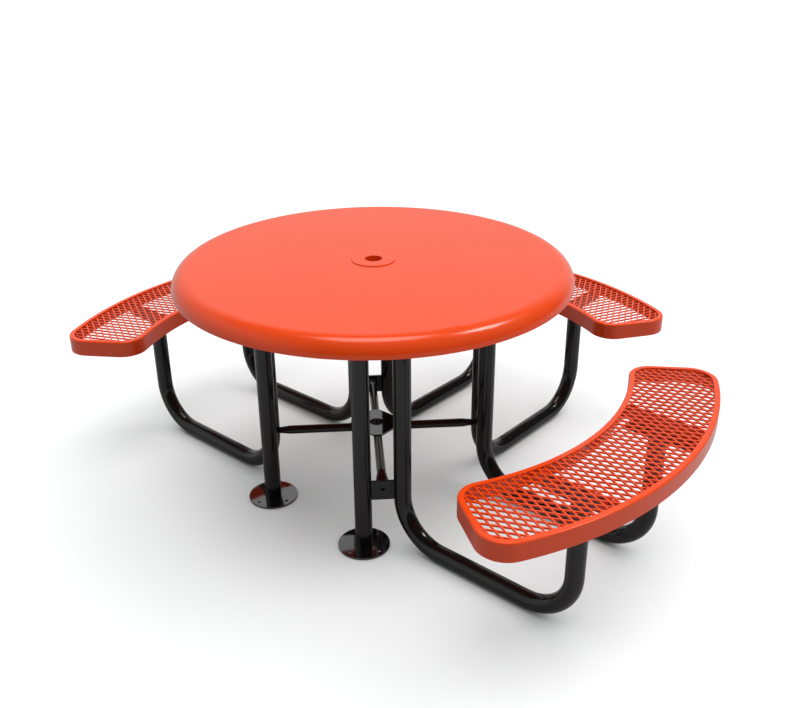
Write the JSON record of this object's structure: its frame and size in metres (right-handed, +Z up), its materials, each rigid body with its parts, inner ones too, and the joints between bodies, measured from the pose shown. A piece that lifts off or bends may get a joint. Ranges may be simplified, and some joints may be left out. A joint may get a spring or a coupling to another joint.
{
  "type": "round picnic table",
  "caption": "Round outdoor picnic table with a solid coated top, an umbrella collar, curved expanded-metal seats on bent tube legs and one open side for a wheelchair.",
  "frame": {"origin": "on the table's axis at floor level, which is the middle of the bounding box's base", "axes": "+Z up, along the umbrella hole; pairs of tubes stand on the X and Y axes; seats lie towards +X -Y, +X +Y and -X +Y; the open side faces -X -Y"},
  "size_m": [1.9544, 1.9544, 0.768],
  "materials": {
    "orange_coating": "smooth thermoplastic coating on steel, satin gloss",
    "black_coating": "black powder coating on steel, glossy",
    "zinc_fasteners": "zinc-plated steel"
  },
  "bodies": {
    "root": {"back_brace_plate": "black_coating", "back_brace_rod": "black_coating", "back_top_bracket": "black_coating", "front_brace_plate": "black_coating", "front_brace_rod": "black_coating", "front_post": "black_coating", "front_post_flange": "black_coating", "front_top_bracket": "black_coating", "hub_plate": "black_coating", "hub_tube": "black_coating", "left_back_leg_left": "black_coating", "left_back_leg_right": "black_coating", "left_back_seat_bracket_left": "black_coating", "left_back_seat_bracket_right": "black_coating", "left_back_seat_cross_bar_left": "orange_coating", "left_back_seat_cross_bar_right": "orange_coating", "left_back_seat_panel": "orange_coating", "left_back_seat_rim": "orange_coating", "left_brace_plate": "black_coating", "left_brace_rod": "black_coating", "left_post": "black_coating", "left_post_flange": "black_coating", "left_top_bracket": "black_coating", "right_back_leg_left": "black_coating", "right_back_leg_right": "black_coating", "right_back_seat_bracket_left": "black_coating", "right_back_seat_bracket_right": "black_coating", "right_back_seat_cross_bar_left": "orange_coating", "right_back_seat_cross_bar_right": "orange_coating", "right_back_seat_panel": "orange_coating", "right_back_seat_rim": "orange_coating", "right_brace_plate": "black_coating", "right_brace_rod": "black_coating", "right_front_leg_left": "black_coating", "right_front_leg_right": "black_coating", "right_front_seat_bracket_left": "black_coating", "right_front_seat_bracket_right": "black_coating", "right_front_seat_cross_bar_left": "orange_coating", "right_front_seat_cross_bar_right": "orange_coating", "right_front_seat_panel": "orange_coating", "right_front_seat_rim": "orange_coating", "right_top_bracket": "black_coating", "seat_nuts": "orange_coating", "seat_studs": "orange_coating", "seat_washers": "orange_coating", "table_top": "orange_coating", "top_nuts": "zinc_fasteners", "top_studs": "zinc_fasteners", "top_washers": "zinc_fasteners", "umbrella_collar": "orange_coating"}
  },
  "joints": []
}
